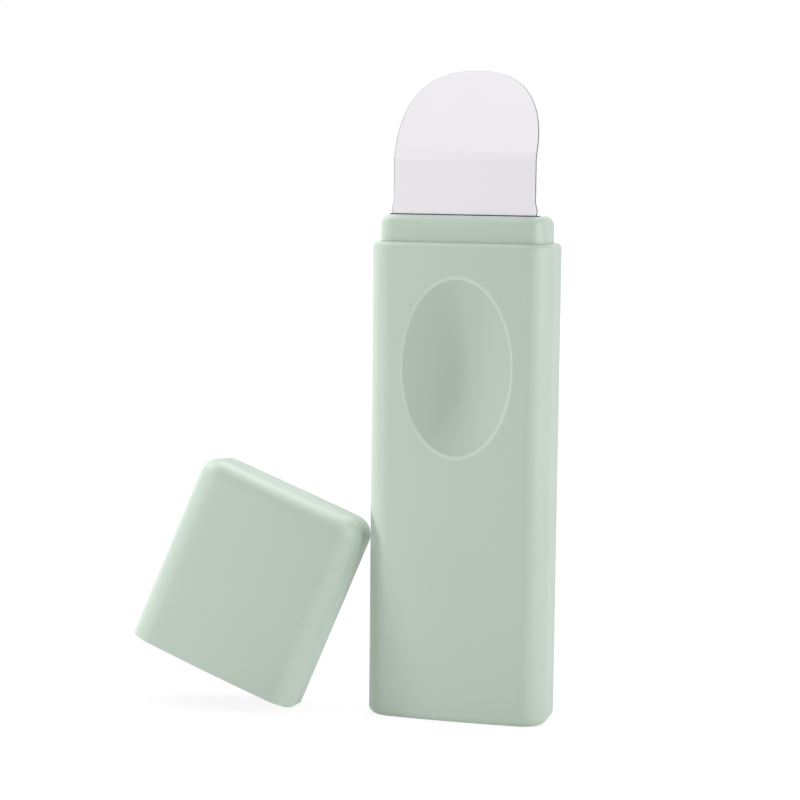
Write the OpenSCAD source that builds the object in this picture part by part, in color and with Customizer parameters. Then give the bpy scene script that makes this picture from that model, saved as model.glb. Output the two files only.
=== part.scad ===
// Slim powered skin spatula: a handle with a thumb dish, a vibrating steel blade and a pull-off cap.
// The tool stands on its bottom end at z = 0 with its front face towards -Y.
// The cap is off: it leans beside the handle on the left, open end down.

/* [Handle] */
// Width across the front face
handle_w = 30; // [29.5:0.1:31]
// Depth from front face to back face
handle_t = 13; // [12.8:0.1:14]
// Height of the shell up to its shoulder
handle_h = 78; // [77.8:0.1:80]
// Radius of the long upright edges
edge_r = 3.8; // [3.4:0.1:4]
// Rounding of the bottom edge
foot_r = 1.2; // [0.4:0.1:1.4]
// Rounding of the shoulder's outer edge
shoulder_r = 0.9; // [0.3:0.1:1]
// Thickness of the shell's side walls
wall = 1.5; // [1.4:0.05:1.6]
// Thickness of the shell's bottom
floor_t = 1.6; // [1.2:0.1:2]

/* [Thumb dish] */
// Width of the dish at its rim
dish_w = 18.2; // [16:0.2:19]
// Height of the dish at its rim
dish_h = 29; // [26:0.5:30]
// Depth of the dish at its middle
dish_depth = 2; // [1:0.1:2]
// Height of the middle of the dish
dish_z = 58; // [57:0.5:59]

/* [Head collar] */
// Height of the collar above the shoulder
collar_h = 4.3; // [4:0.1:5]
// Step from the handle's outline in to the collar's
collar_inset = 1.3; // [1.25:0.05:1.35]
// Rounding of the collar's top edge
collar_top_r = 1.6; // [0.6:0.1:1.8]
// Depth to which the collar's plug enters the shell
plug_depth = 8; // [7.8:0.1:8.2]

/* [Blade] */
// Width of the blade
blade_w = 23.4; // [22:0.1:24]
// Thickness of the steel
blade_t = 0.45; // [0.4:0.05:0.5]
// Place of the blade's front face, measured from the handle's middle
blade_y = -2.5; // [-2.6:0.05:-2.4]
// Straight height between the collar and the bend
blade_straight = 8.4; // [6:0.1:9]
// Angle by which the tip leans to the back
blade_bend = 27.8; // [10:0.1:28]
// Radius of the bend on the front face
bend_r = 4; // [3:0.1:5]
// Length of the rounded tip past the bend
tip_l = 14.6; // [12:0.1:15]
// Squareness of the rounded tip, where 2 is an ellipse
tip_power = 2.45; // [2:0.05:3]

/* [Cap] */
// Height of the cap
cap_h = 33; // [31.8:0.1:36]
// Rounding round the cap's closed end
cap_top_r = 2.6; // [1:0.1:3.2]
// Thickness of the cap's side walls
cap_wall = 1.15; // [1.1:0.05:1.2]
// Thickness of the cap's closed end
cap_roof_t = 1.7; // [1.2:0.1:2]

/* [Cap place] */
// Put the cap on the collar instead of beside the handle
cap_on = false;
// Lean of the cap towards the handle
cap_tilt = 21.5; // [18:0.1:22]
// Lean of the cap towards the back
cap_lean = 6; // [4:0.5:11]
// Turn of the cap about the upright
cap_turn = 2.6; // [1:0.1:6]
// Place of the middle of the cap's mouth, to the side
cap_x = -41.2; // [-44:0.1:-40.8]
// Place of the middle of the cap's mouth, to the back
cap_y = -4.5; // [-8:0.1:-3]

/* [Power button] */
// Diameter of the button on the back face
button_d = 8.4; // [7:0.1:9]
// Height of the button's middle
button_z = 35; // [34:0.5:36]
// Travel of the button
button_travel = 0.4; // [0.2:0.05:0.4]

/* [Drive parts] */
// Diameter of the vibrating stack
stack_d = 7; // [6:0.1:7.2]
// Width of the battery
battery_w = 20; // [16:1:20]
// Height of the battery
battery_h = 29; // [24:1:29]
// Thickness of the battery
battery_t = 4.2; // [3:0.1:4.2]

/* [Hidden] */
$fn = 64;
SHORT = 0.01;

// Handle
half_t = handle_t / 2;
cavity_w = handle_w - 2 * wall;
cavity_t = handle_t - 2 * wall;
cavity_r = edge_r - wall;
inner_y = cavity_t / 2;

// Thumb dish: a torus surface, with one radius across and a larger one along the handle
dish_across_r = (pow(dish_w / 2, 2) + pow(dish_depth, 2)) / (2 * dish_depth);
dish_along_r = (pow(dish_h / 2, 2) + pow(dish_depth, 2)) / (2 * dish_depth);
dish_skin = 1.2;

// Head collar and the socket that it plugs into
collar_w = handle_w - 2 * collar_inset;
collar_t = handle_t - 2 * collar_inset;
collar_r = edge_r - collar_inset;
collar_top = handle_h + collar_h;
plug_z = handle_h - plug_depth;
plug_wall = 1.1;
plug_gap = 0.1;
collar_roof_t = 1.6;
catch_z = plug_z + 3.4;
catch_h = 1.6;
catch_w = 3.2;
catch_depth = 0.25;
arm_window_z = plug_z + 4.2;
arm_window_h = 1.6;

// Blade
blade_mid_y = blade_y + blade_t / 2;
bend_z = collar_top + blade_straight;
foot_w = 24;
foot_h = 1.2;
tail_w = 12;
tail_slope_h = 1.5;
tail_z = 65;
tail_shoulder_z = collar_top - 3;
seal_gap = 0.35;
seal_flange = 1.4;
seal_flange_t = 0.9;
seal_lip_h = 0.15;
tip_steps = 48;
bend_steps = 16;

// Vibrating stack, from the bottom up
stack_y = 1;
back_mass_z = 48.6;
back_mass_h = 4.6;
contact_t = 0.2;
ring_t = 2;
ring_bore = 3.4;
contact_1_z = back_mass_z + back_mass_h;
ring_1_z = contact_1_z + contact_t;
contact_2_z = ring_1_z + ring_t;
ring_2_z = contact_2_z + contact_t;
horn_z = ring_2_z + ring_t;
horn_round_h = 4.6;
paddle_top = 75.6;
paddle_back_y = 1.2;
bolt_d = 2.5;
bolt_head_d = 4.2;
bolt_head_h = 2.2;
bolt_top = horn_z + 3.6;
clamp_t = 0.6;
clamp_h = 9.6;
clamp_z = 65.6;
clamp_screw_x = 3.6;
clamp_screw_z = 70.4;
clamp_screw_d = 1.6;
clamp_head_d = 2.8;
clamp_head_h = 0.8;
isolator_t = 0.5;
isolator_h = 2;
isolator_low_z = back_mass_z + 0.6;
isolator_high_z = horn_z + 1;

// Chassis and the layers between front wall and back wall
tray_y = -0.4;
tray_t = 0.8;
board_y = 1.6;
board_t = 0.8;
board_back_y = board_y + board_t;
rail_in_x = 11.5;
rail_out_x = 13;
rail_half_t = 3;
chassis_z = 3.4;
chassis_top = plug_z - 0.1;
arm_in_x = 11.3;
arm_out_x = 12.3;
arm_top = arm_window_z + arm_window_h;
bridge_z = 46;
bridge_h = 1.8;
board_z = 3;
board_top = 45.6;
board_half_w = 11.3;
boss_x = 9.6;
boss_z = 41;
boss_w = 3.4;
tray_top = 39.2;
battery_z = 8;
pad_t = inner_y + tray_y - battery_t;
battery_y = tray_y - battery_t;

// Power button and its switch
hole_gap = 0.2;
flange_d = button_d + 1.8;
flange_t = 0.55;
flange_gap = 0.05;
button_set_back = 0.12;
button_edge_r = 0.4;
button_foot_y = inner_y - flange_gap - flange_t;
switch_w = 4.4;
switch_top_y = button_foot_y - button_travel - 0.05;
plunger_d = 1.8;
plunger_gap = 0.12;
plunger_low_y = switch_top_y - 1;

// Status light
light_z = 43.4;
light_d = 1.6;
light_set_back = 0.1;
led_t = 0.5;

// Charging socket
socket_w = 8.9;
socket_t = 3.2;
socket_skin = 0.3;
socket_y = board_y + board_t / 2 + 0.2;
socket_z = 0.6;
socket_h = 7.4;
socket_gap = 0.2;
tongue_w = 6.6;
tongue_t = 0.7;
tongue_h = 4.6;

// Leads
lead_d = 0.9;
stack_lead_x = 5.2;
stack_lead_y = board_back_y + lead_d / 2;
battery_lead_x = 4;
battery_lead_y = -2.4;
lead_bend_r = 1.2;
battery_lead_top = 41.4;

// Cap
cap_w = handle_w;
cap_t = handle_t;
cap_mouth_r = 0.25;
cap_inside_top_r = 1.6;
grip_rib_d = 1;
grip_rib_proud = 0.1;
grip_rib_h = 3.2;
grip_rib_x = 8;
cap_seat_gap = 0.1;
// The rounded rim's lowest point lies this far below the mouth's middle when the cap leans
cap_down_x = cos(cap_lean) * sin(cap_tilt);
cap_down_y = sin(cap_lean);
cap_drop = cap_down_x * (cap_w / 2 - edge_r) + cap_down_y * (cap_t / 2 - edge_r)
    + (edge_r - cap_mouth_r) * norm([cap_down_x, cap_down_y])
    + cap_mouth_r * (1 - cos(cap_lean) * cos(cap_tilt));

MINT = "#c3d1c5";
BLACK = "#26282a";
STEEL = "#d9d8da";

// Plan outline of the handle family: a rectangle with round corners
module plan(w, t, r) {
    square([w - 2 * r, t], center = true);
    square([w, t - 2 * r], center = true);
    for (sx = [-1, 1], sy = [-1, 1])
        translate([sx * (w / 2 - r), sy * (t / 2 - r)])
            circle(r);
}

// Upright rectangle whose lower and upper corners are round
module side_profile(w, h, low_r, top_r) {
    translate([-w / 2, low_r])
        square([w, h - low_r - top_r]);
    translate([-w / 2 + low_r, 0])
        square([w - 2 * low_r, h / 2]);
    translate([-w / 2 + top_r, h / 2])
        square([w - 2 * top_r, h / 2]);
    for (s = [-1, 1]) {
        translate([s * (w / 2 - low_r), low_r])
            circle(low_r);
        translate([s * (w / 2 - top_r), h - top_r])
            circle(top_r);
    }
}

// Upright block on a plan outline, with its lower and upper edges rounded all round
module soft_block(w, t, r, h, low_r, top_r) {
    translate([0, t / 2 - r, 0])
        rotate([90, 0, 0])
            linear_extrude(t - 2 * r)
                side_profile(w, h, low_r, top_r);
    translate([-(w / 2 - r), 0, 0])
        rotate([90, 0, 90])
            linear_extrude(w - 2 * r)
                side_profile(t, h, low_r, top_r);
    for (sx = [-1, 1], sy = [-1, 1])
        translate([sx * (w / 2 - r), sy * (t / 2 - r), 0])
            rotate_extrude()
                intersection() {
                    side_profile(2 * r, h, low_r, top_r);
                    square([r, h]);
                }
}

// Rod that lies along +Y from the given place
module rod_y(d, length) {
    rotate([-90, 0, 0])
        cylinder(d = d, h = length);
}

// Box given by its lowest and highest corners
module box(low, high) {
    translate(low)
        cube(high - low);
}

// Round-ended slot outline
module slot(w, t) {
    square([w - t, t], center = true);
    for (s = [-1, 1])
        translate([s * (w - t) / 2, 0])
            circle(d = t);
}

// Torus whose outermost part is the thumb dish; grow moves its surface inwards
module dish_form(grow) {
    translate([0, -half_t + dish_depth - dish_along_r, dish_z])
        rotate([0, 90, 0])
            rotate_extrude($fn = 180)
                translate([dish_along_r - dish_across_r, 0])
                    circle(dish_across_r + grow, $fn = 120);
}

// Hollow of the shell: a narrower lower part, and the socket for the collar's plug
module shell_cavity() {
    difference() {
        translate([0, 0, floor_t])
            linear_extrude(handle_h)
                plan(cavity_w, cavity_t, cavity_r);
        dish_form(dish_skin);
    }
    translate([0, 0, plug_z])
        linear_extrude(handle_h)
            plan(collar_w + 2 * plug_gap, collar_t + 2 * plug_gap, collar_r + plug_gap);
    for (s = [-1, 1])
        translate([s * (collar_w / 2 + plug_gap), 0, catch_z + catch_h / 2])
            cube([2 * (catch_depth + plug_gap), catch_w + 0.4, catch_h + 0.4], center = true);
}

module handle_shell() {
    color(MINT)
        difference() {
            soft_block(handle_w, handle_t, edge_r, handle_h, foot_r, shoulder_r);
            shell_cavity();
            dish_form(0);
            translate([0, inner_y - 1, button_z])
                rod_y(button_d + 2 * hole_gap, 2 * wall);
            translate([0, inner_y - 1, light_z])
                rod_y(light_d + 0.1, 2 * wall);
            translate([0, socket_y, -SHORT])
                linear_extrude(floor_t + 2 * SHORT)
                    slot(socket_w + 2 * socket_gap, socket_t + 2 * socket_gap);
        }
}

module head_collar() {
    color(MINT)
        difference() {
            union() {
                translate([0, 0, plug_z])
                    soft_block(collar_w, collar_t, collar_r, collar_top - plug_z, 0.2, collar_top_r);
                for (s = [-1, 1])
                    translate([s * collar_w / 2, 0, catch_z + catch_h / 2])
                        cube([2 * catch_depth, catch_w, catch_h], center = true);
            }
            translate([0, 0, plug_z - 1])
                linear_extrude(collar_top - collar_roof_t - plug_z + 1)
                    plan(collar_w - 2 * plug_wall, collar_t - 2 * plug_wall, collar_r - plug_wall);
            translate([0, blade_mid_y, collar_top - 2 * collar_roof_t])
                linear_extrude(3 * collar_roof_t)
                    slot(foot_w + 2 * seal_gap, blade_t + 2 * seal_gap);
            for (s = [-1, 1])
                translate([s * (collar_w / 2 - plug_wall), 0, arm_window_z])
                    cube([2 * (arm_out_x - arm_in_x) * 0.55, 3.4, 2 * arm_window_h], center = true);
        }
}

// Front outline of the flat steel from the clamp up to a small flare just above the collar
module blade_foot_outline() {
    right = [[tail_w / 2, tail_z], [tail_w / 2, tail_shoulder_z - tail_slope_h],
        [foot_w / 2, tail_shoulder_z], [foot_w / 2, collar_top + foot_h / 2],
        [blade_w - foot_w / 2, collar_top + 1.5 * foot_h]];
    left = [for (i = [len(right) - 1:-1:0]) [-right[i][0], right[i][1]]];
    polygon(concat(right, left));
}

// Outline that rounds the tip; its root is wide, so that it cuts nothing below the bend
module blade_tip_outline() {
    half_w = blade_w / 2 + 0.05;
    polygon(concat(
        [[-foot_w, 0], [-foot_w, -2 * foot_w], [foot_w, -2 * foot_w], [foot_w, 0]],
        [for (i = [0:tip_steps])
            let (a = 180 * i / tip_steps)
            [half_w * sign(cos(a)) * pow(abs(cos(a)), 2 / tip_power),
             tip_l * pow(abs(sin(a)), 2 / tip_power)]]));
}

// Side view of the sheet: straight up from the collar, round the bend, then out along the tip
module blade_side() {
    angles = [for (i = [0:bend_steps]) blade_bend * i / bend_steps];
    inner_r = bend_r - blade_t;
    reach = [(tip_l + 1) * sin(blade_bend), (tip_l + 1) * cos(blade_bend)];
    front = [for (a = angles) [-bend_r * cos(a), bend_r * sin(a)]];
    back = [for (i = [bend_steps:-1:0]) [-inner_r * cos(angles[i]), inner_r * sin(angles[i])]];
    translate([blade_y + bend_r, bend_z])
        polygon(concat([[-bend_r, -blade_straight]], front,
            [front[bend_steps] + reach, back[0] + reach], back,
            [[-inner_r, -blade_straight]]));
}

module blade() {
    tip_y = blade_y + bend_r * (1 - cos(blade_bend));
    tip_z = bend_z + bend_r * sin(blade_bend);
    color(STEEL)
        difference() {
            union() {
                translate([0, blade_y + blade_t, 0])
                    rotate([90, 0, 0])
                        linear_extrude(blade_t)
                            blade_foot_outline();
                intersection() {
                    translate([-blade_w / 2, 0, 0])
                        rotate([90, 0, 90])
                            linear_extrude(blade_w)
                                blade_side();
                    translate([0, tip_y, tip_z])
                        rotate([-blade_bend, 0, 0])
                            translate([0, foot_w, 0])
                                rotate([90, 0, 0])
                                    linear_extrude(2 * foot_w)
                                        blade_tip_outline();
                }
            }
            for (s = [-1, 1])
                translate([s * clamp_screw_x, blade_y - 1, clamp_screw_z])
                    rod_y(clamp_screw_d + 0.2, 3);
        }
}

// Soft ring that closes the slot round the blade, with a flange under the collar's roof
module blade_seal() {
    roof_z = collar_top - collar_roof_t;
    color(BLACK)
        difference() {
            translate([0, blade_mid_y, 0]) {
                translate([0, 0, roof_z - seal_flange_t])
                    linear_extrude(seal_flange_t)
                        slot(foot_w + 2 * seal_gap + 0.4, blade_t + 2 * seal_flange);
                translate([0, 0, roof_z - seal_flange_t / 2])
                    linear_extrude(seal_flange_t / 2 + collar_roof_t + seal_lip_h)
                        slot(foot_w + 2 * seal_gap, blade_t + 2 * seal_gap);
            }
            box([-foot_w / 2, blade_y, roof_z - 2], [foot_w / 2, blade_y + blade_t, collar_top + 1]);
        }
}

module blade_clamp() {
    color(STEEL)
        difference() {
            box([-tail_w / 2, blade_y - clamp_t, clamp_z],
                [tail_w / 2, blade_y, clamp_z + clamp_h]);
            for (s = [-1, 1])
                translate([s * clamp_screw_x, blade_y - 2, clamp_screw_z])
                    rod_y(clamp_screw_d + 0.2, 3);
        }
}

module clamp_screws() {
    color("#8c8f93")
        for (s = [-1, 1])
            translate([s * clamp_screw_x, blade_y - clamp_t - clamp_head_h, clamp_screw_z])
                difference() {
                    union() {
                        rod_y(clamp_head_d, clamp_head_h);
                        rod_y(clamp_screw_d, clamp_head_h + clamp_t + blade_t + 2.4);
                    }
                    translate([-clamp_head_d / 2, -SHORT, -0.2])
                        cube([clamp_head_d, 0.4, 0.4]);
                }
}

// Horn: a round body that takes the bolt, and a flat paddle that holds the blade's tail
module horn() {
    color("#b9bcc0")
        difference() {
            union() {
                translate([0, stack_y, horn_z])
                    cylinder(d = stack_d, h = horn_round_h);
                box([-tail_w / 2, blade_y + blade_t, horn_z + horn_round_h - SHORT],
                    [tail_w / 2, paddle_back_y, paddle_top]);
            }
            translate([0, stack_y, horn_z - 1])
                cylinder(d = bolt_d, h = bolt_top - horn_z + 1);
            for (s = [-1, 1])
                translate([s * clamp_screw_x, blade_y, clamp_screw_z])
                    rod_y(clamp_screw_d, blade_t + 2.4);
        }
}

module stack_ring(z, h, bore) {
    translate([0, stack_y, z])
        difference() {
            cylinder(d = stack_d, h = h);
            translate([0, 0, -1])
                cylinder(d = bore, h = h + 2);
        }
}

module piezo_rings() {
    color("#c9b98f")
        for (z = [ring_1_z, ring_2_z])
            stack_ring(z, ring_t, ring_bore);
}

// Thin brass discs between the rings, each with a tab out to its lead
module piezo_contacts() {
    color("#c9a24a")
        for (c = [[contact_1_z, -1], [contact_2_z, 1]])
            difference() {
                union() {
                    translate([0, stack_y, c[0]])
                        cylinder(d = stack_d, h = contact_t);
                    translate([c[1] > 0 ? 0 : -stack_lead_x - 0.6, stack_lead_y - 0.6, c[0]])
                        cube([stack_lead_x + 0.6, 1.2, contact_t]);
                }
                translate([0, stack_y, c[0] - 1])
                    cylinder(d = ring_bore, h = 2);
            }
}

module back_mass() {
    color("#7f8388")
        difference() {
            stack_ring(back_mass_z, back_mass_h, bolt_d + 0.3);
            translate([0, stack_y, back_mass_z - 1])
                cylinder(d = bolt_head_d + 0.3, h = bolt_head_h + 1);
        }
}

module stack_bolt() {
    color("#8c8f93")
        translate([0, stack_y, back_mass_z])
            difference() {
                union() {
                    cylinder(d = bolt_head_d, h = bolt_head_h);
                    cylinder(d = bolt_d, h = bolt_top - back_mass_z - 0.2);
                }
                translate([0, 0, -SHORT])
                    cylinder(d = 2.2, h = 1.2, $fn = 6);
            }
}

// Rubber rings that carry the stack in the chassis
module stack_isolators() {
    color(BLACK)
        for (z = [isolator_low_z, isolator_high_z])
            translate([0, stack_y, z])
                difference() {
                    cylinder(d = stack_d + 2 * isolator_t, h = isolator_h);
                    translate([0, 0, -1])
                        cylinder(d = stack_d, h = isolator_h + 2);
                }
}

// Inner frame: rails, battery tray, bridges, side holders for the stack, and snap arms
module chassis() {
    color("#e4e4df")
        difference() {
            union() {
                for (s = [-1, 1])
                    mirror([s < 0 ? 1 : 0, 0, 0]) {
                        box([rail_in_x, -rail_half_t, chassis_z], [rail_out_x, rail_half_t, chassis_top]);
                        box([board_half_w - 1, tray_y, chassis_z + 2], [rail_in_x + SHORT, board_y, board_top]);
                        box([boss_x - boss_w / 2, tray_y, boss_z - boss_w / 2],
                            [rail_in_x + SHORT, board_y, boss_z + boss_w / 2]);
                        box([arm_in_x, -1.5, chassis_top - 4], [arm_out_x, 1.5, arm_top]);
                        box([arm_out_x - SHORT, -1.3, arm_window_z - 0.5],
                            [arm_out_x + 0.6, 1.3, arm_window_z + 0.9]);
                        for (z = [isolator_low_z, isolator_high_z])
                            box([2, -2.2, z], [rail_in_x + SHORT, 4.2, z + isolator_h]);
                    }
                box([-rail_in_x - SHORT, tray_y, chassis_z + 2], [rail_in_x + SHORT, tray_y + tray_t, tray_top]);
                box([-rail_in_x - SHORT, -rail_half_t, bridge_z],
                    [rail_in_x + SHORT, rail_half_t, bridge_z + bridge_h]);
                box([-rail_in_x - SHORT, -rail_half_t, chassis_z],
                    [rail_in_x + SHORT, tray_y + tray_t, chassis_z + 2]);
            }
            for (z = [isolator_low_z, isolator_high_z])
                translate([0, stack_y, z - 1])
                    cylinder(d = stack_d + 2 * isolator_t, h = isolator_h + 2);
            for (s = [-1, 1]) {
                box([s * stack_lead_x - 0.8, stack_lead_y - 0.8, bridge_z - 1],
                    [s * stack_lead_x + 0.8, rail_half_t + 1, isolator_low_z + isolator_h + 1]);
                translate([s * boss_x, board_y - 1.8, boss_z])
                    rod_y(1.2, 2);
            }
            translate([0, stack_y, bridge_z - 1])
                cylinder(d = bolt_head_d + 0.6, h = bridge_h + 2);
            box([-socket_w / 2 - 0.4, socket_y - socket_t / 2 - 0.3, 0],
                [socket_w / 2 + 0.4, 4, socket_z + socket_h + 0.4]);
        }
}

module battery() {
    color("#a9adb2")
        translate([0, battery_y + battery_t / 2, battery_z])
            soft_block(battery_w, battery_t, 1.2, battery_h, 0.5, 0.5);
}

module battery_pad() {
    color("#4b4e50")
        translate([-battery_w / 2 + 2, -inner_y, battery_z + 3])
            cube([battery_w - 4, pad_t, battery_h - 6]);
}

module circuit_board() {
    color("#2f6b45")
        difference() {
            box([-board_half_w, board_y, board_z], [board_half_w, board_back_y, board_top]);
            box([-socket_w / 2 - 0.1, board_y - 1, board_z - 1],
                [socket_w / 2 + 0.1, board_back_y + 1, socket_z + socket_h + 0.2]);
            for (s = [-1, 1])
                translate([s * boss_x, board_y - 1, boss_z])
                    rod_y(1.5, 3);
        }
}

module board_screws() {
    color("#8c8f93")
        for (s = [-1, 1])
            translate([s * boss_x, board_back_y, boss_z]) {
                rod_y(2.4, 0.7);
                translate([0, -board_t - 1.6, 0])
                    rod_y(1.2, board_t + 1.6 + SHORT);
            }
}

module control_chip() {
    color(BLACK)
        box([-2.5, board_back_y, 13], [2.5, board_back_y + 0.9, 18]);
}

// Wound coil that steps the battery's voltage up for the stack
module drive_coil() {
    color("#5a5d60")
        translate([0, board_back_y, 25]) {
            box([-3, 0, -3], [3, 0.5, 3]);
            rod_y(3, 2.2);
            translate([0, 1.7, 0])
                rod_y(5.6, 0.5);
        }
}

module board_capacitors() {
    color("#b59a6a")
        for (x = [-7.6, -5.4, 5.4, 7.6], z = [14, 18, 22])
            box([x - 0.5, board_back_y, z - 0.8], [x + 0.5, board_back_y + 0.8, z + 0.8]);
}

module status_led() {
    color("#f4f3ea")
        box([-0.8, board_back_y, light_z - 0.5], [0.8, board_back_y + led_t, light_z + 0.5]);
}

module light_guide() {
    color("#eef2f0")
        translate([0, board_back_y + led_t, light_z]) {
            rod_y(light_d, half_t - light_set_back - board_back_y - led_t);
            translate([0, inner_y - board_back_y - led_t - 0.6, 0])
                rod_y(light_d + 1, 0.6);
        }
}

module tact_switch() {
    color("#3a3d40")
        difference() {
            box([-switch_w / 2, board_back_y, button_z - switch_w / 2],
                [switch_w / 2, switch_top_y, button_z + switch_w / 2]);
            translate([0, plunger_low_y - button_travel - 0.1, button_z])
                rod_y(plunger_d + 2 * plunger_gap, 3);
        }
}

module switch_plunger() {
    color(BLACK)
        translate([0, plunger_low_y, button_z])
            rod_y(plunger_d, button_foot_y - plunger_low_y);
}

// Button cap with a soft outer edge and a flange that holds it behind the wall
module power_button() {
    height = half_t - button_set_back - button_foot_y;
    color(MINT)
        translate([0, button_foot_y, button_z])
            rotate([-90, 0, 0])
                rotate_extrude() {
                    square([flange_d / 2, flange_t]);
                    square([button_d / 2, height - button_edge_r]);
                    square([button_d / 2 - button_edge_r, height]);
                    translate([button_d / 2 - button_edge_r, height - button_edge_r])
                        circle(button_edge_r);
                }
}

module charging_socket() {
    color(STEEL)
        translate([0, socket_y, socket_z]) {
            linear_extrude(socket_h)
                difference() {
                    slot(socket_w, socket_t);
                    slot(socket_w - 2 * socket_skin, socket_t - 2 * socket_skin);
                }
            translate([0, 0, socket_h - 1])
                linear_extrude(1)
                    slot(socket_w - socket_skin, socket_t - socket_skin);
        }
}

module socket_tongue() {
    color(BLACK)
        translate([0, socket_y, socket_z + socket_h - 1 - tongue_h / 2])
            cube([tongue_w, tongue_t, tongue_h], center = true);
}

module socket_seal() {
    color(BLACK)
        translate([0, socket_y, floor_t])
            linear_extrude(0.9)
                difference() {
                    slot(socket_w + 1.4, socket_t + 1.2);
                    slot(socket_w, socket_t);
                }
}

// Two leads that rise from the battery and turn back to the board's front face
module battery_leads() {
    color("#a33a30")
        for (s = [-1, 1])
            translate([s * battery_lead_x, battery_lead_y, 0]) {
                translate([0, 0, battery_z + battery_h])
                    cylinder(d = lead_d, h = battery_lead_top - lead_bend_r - battery_z - battery_h);
                translate([0, lead_bend_r, battery_lead_top - lead_bend_r])
                    rotate([90, 0, -90])
                        rotate_extrude(angle = 90)
                            translate([lead_bend_r, 0])
                                circle(d = lead_d);
                translate([0, lead_bend_r, battery_lead_top])
                    rod_y(lead_d, board_y - battery_lead_y - lead_bend_r);
            }
}

// Two leads from the brass tabs down to the board's back face
module stack_leads() {
    color("#3b4a8c")
        for (c = [[contact_1_z, -1], [contact_2_z, 1]])
            translate([c[1] * stack_lead_x, stack_lead_y, board_top - 2.6])
                cylinder(d = lead_d, h = c[0] - board_top + 2.6);
}

// Cap upright, with its mouth at z = 0
module cap_upright() {
    inside_w = cap_w - 2 * cap_wall;
    inside_t = cap_t - 2 * cap_wall;
    difference() {
        soft_block(cap_w, cap_t, edge_r, cap_h, cap_mouth_r, cap_top_r);
        translate([0, 0, -5])
            soft_block(inside_w, inside_t, edge_r - cap_wall, cap_h - cap_roof_t + 5,
                0.2, cap_inside_top_r);
    }
    for (sx = [-1, 1], sy = [-1, 1])
        translate([sx * grip_rib_x, sy * (inside_t / 2 + grip_rib_d / 2 - grip_rib_proud), 1])
            cylinder(d = grip_rib_d, h = grip_rib_h);
}

module cap_shell() {
    color(MINT)
        if (cap_on)
            translate([0, 0, handle_h + cap_seat_gap])
                cap_upright();
        else
            translate([cap_x, cap_y, cap_drop])
                rotate([0, 0, cap_turn])
                    rotate([-cap_lean, 0, 0])
                        rotate([0, cap_tilt, 0])
                            cap_upright();
}

handle_shell();
head_collar();
blade();
blade_seal();
blade_clamp();
clamp_screws();
horn();
piezo_rings();
piezo_contacts();
back_mass();
stack_bolt();
stack_isolators();
chassis();
battery();
battery_pad();
circuit_board();
board_screws();
control_chip();
drive_coil();
board_capacitors();
status_led();
light_guide();
tact_switch();
switch_plunger();
power_button();
charging_socket();
socket_tongue();
socket_seal();
battery_leads();
stack_leads();
cap_shell();
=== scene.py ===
"""Slim skin spatula with a leaning cap: its pieces, their finishes and a plain studio."""

import math

import bmesh
import bpy
from bpy.props import FloatProperty, FloatVectorProperty, PointerProperty
from mathutils import Matrix, Vector


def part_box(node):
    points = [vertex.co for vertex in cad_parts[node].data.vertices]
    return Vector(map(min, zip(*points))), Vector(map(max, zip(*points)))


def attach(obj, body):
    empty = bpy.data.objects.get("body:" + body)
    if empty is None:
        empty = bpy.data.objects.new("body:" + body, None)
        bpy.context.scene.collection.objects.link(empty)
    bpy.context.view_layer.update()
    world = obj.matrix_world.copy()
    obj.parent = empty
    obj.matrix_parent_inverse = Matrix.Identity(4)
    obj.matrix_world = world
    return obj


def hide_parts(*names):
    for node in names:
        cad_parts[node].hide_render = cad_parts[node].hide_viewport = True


bl_info = {
    "name": "Skin Spatula Pieces",
    "version": (1, 0, 0),
    "blender": (4, 5, 0),
    "location": "View3D > Sidebar > Spatula",
    "description": "Builds the visible pieces of a skin spatula and all of its finishes",
    "category": "Object",
}

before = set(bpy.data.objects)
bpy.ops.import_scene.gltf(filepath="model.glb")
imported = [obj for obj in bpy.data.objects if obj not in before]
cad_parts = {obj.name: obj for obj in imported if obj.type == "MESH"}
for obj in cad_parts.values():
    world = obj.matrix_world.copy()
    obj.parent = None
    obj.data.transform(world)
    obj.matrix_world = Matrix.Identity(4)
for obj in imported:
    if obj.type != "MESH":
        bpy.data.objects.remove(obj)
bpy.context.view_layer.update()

MM = 0.001
TINY = 1e-6
SAME_PLACE = 1e-7
UPRIGHT_STEPS = 16
RIM_STEPS = 10
CROWN_STRIPS = 24
SMOOTH_ANGLE = math.radians(32)
BLADE_SMOOTH_ANGLE = math.radians(25)

# Face angles in radians above which the edges of holes and mouths count as sharp
SHARP, SQUARE = 0.5, 1.0
# Share of its half thickness by which the ends of a slot are rounded
SLOT_ROUND = 0.995
# Free space round the light guide in its hole, and how near to its radius a hole's edge lies
LIGHT_GAP = 0.05 * MM
HOLE_MARGIN = 0.02 * MM

# Thumb dish's cutter: half of its spin along the handle, and how much of its ring is kept
DISH_REACH = math.radians(19)
DISH_SPREAD = math.radians(29)
# Dish bowl, in mm: outermost ring past the rim, step between rings; then the rings' numbers
BOWL_PAST_RIM, BOWL_STEP, BOWL_RIM_RINGS, BOWL_RINGS = 0.55, 0.07, 17, 26
BOWL_LEAST_DEPTH = 0.002 * MM
# Where the dish's painted shade and its rim's painted highlight end: depth below the front, share
# of the rim's softness
DISH_PAINT_DEPTH = 2.2 * MM
RIM_HIGHLIGHT_SHARE = 1.15

# Catches on the plug's narrow sides, and the windows behind them for the chassis's arms
CATCH_OUT, CATCH_HALF, CATCH_LOW, CATCH_TOP = 0.25 * MM, 1.6 * MM, 3.4 * MM, 5 * MM
WINDOW_OUT, WINDOW_HALF, WINDOW_LOW, WINDOW_TOP = 0.55 * MM, 1.7 * MM, 2.6 * MM, 5.8 * MM
PLUG_LOW_R = 0.2 * MM
SLOT_R = 0.12 * MM

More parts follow.
